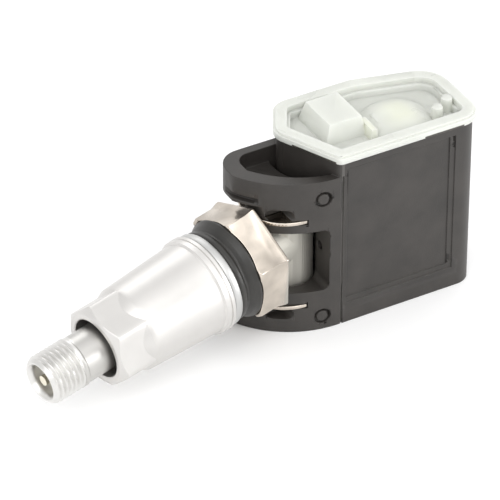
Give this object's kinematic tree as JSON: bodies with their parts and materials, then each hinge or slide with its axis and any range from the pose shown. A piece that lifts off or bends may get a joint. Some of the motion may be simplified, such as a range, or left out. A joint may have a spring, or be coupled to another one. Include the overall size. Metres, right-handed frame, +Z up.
{
  "type": "tyre pressure sensor",
  "caption": "Wheel-mounted tyre pressure sensor: black moulded box with a translucent lid, a swivelling metal valve, hex collar, rubber grommet and sleeve nut.",
  "frame": {"origin": "on the flat base of the housing, under the valve, 1.5 mm ahead of the swivel axis", "axes": "+Z up, along the swivel axis, +X along the box away from the valve, +Y across the box"},
  "size_m": [0.0755, 0.0225, 0.0314],
  "materials": {
    "black_plastic": "matt moulded, fine grain",
    "milky_plastic": "translucent, glossy",
    "membrane": "matt",
    "board": "solder mask",
    "cell_steel": "plated",
    "nickel_strip": "bright strip",
    "chip_black": "matt",
    "ferrite": "matt",
    "copper": "enamelled",
    "ceramic_tan": "matt",
    "nickel": "nickel plated",
    "satin_aluminium": "satin anodised",
    "black_rubber": "matt",
    "core_brass": "turned",
    "red_seal": "matt",
    "spring_steel": "wire"
  },
  "bodies": {
    "box": {"housing": "black_plastic", "lid": "milky_plastic", "port_membrane": "membrane", "circuit_board": "board", "coin_cell": "cell_steel", "cell_tab_plus": "nickel_strip", "cell_tab_minus": "nickel_strip", "sensor_chip": "chip_black", "radio_chip": "chip_black", "crystal": "cell_steel", "coil_core": "ferrite", "coil_winding": "copper", "capacitors": "ceramic_tan", "antenna": "copper"},
    "valve": {"swivel_block": "nickel", "valve_stem": "satin_aluminium", "grommet": "black_rubber", "core_body": "core_brass", "core_seal": "red_seal", "core_spring": "spring_steel"},
    "washer": {"washer": "satin_aluminium"},
    "nut": {"sleeve_nut": "satin_aluminium"},
    "pin": {"core_pin": "core_brass", "core_cup": "black_rubber"}
  },
  "joints": [
    {"name": "valve_swivel", "type": "hinge", "parent": "box", "child": "valve", "pos_m": [0.00147, 0.00029, 0.0134], "axis": [0, 0, 1], "range_deg": [-25.25, 2.75]},
    {"name": "washer_slide", "type": "slide", "parent": "valve", "child": "washer", "axis": [-0.9756, -0.1941, -0.1028], "range_m": [0, 0.003]},
    {"name": "nut_turn", "type": "hinge", "parent": "washer", "child": "nut", "pos_m": [-0.02341, -0.00466, 0.01093], "axis": [0.9756, 0.1941, 0.1028], "range_deg": [0, 1080]},
    {"name": "pin_press", "type": "slide", "parent": "valve", "child": "pin", "axis": [0.9756, 0.1941, 0.1028], "range_m": [0, 0.0012], "stiffness_N_per_m": 900, "springref_m": -0.001, "deforming": ["core_spring"]}
  ],
  "couplings": [
    {"joint": "nut_turn", "follows": "washer_slide", "rad_per_m": 6283.2}
  ]
}
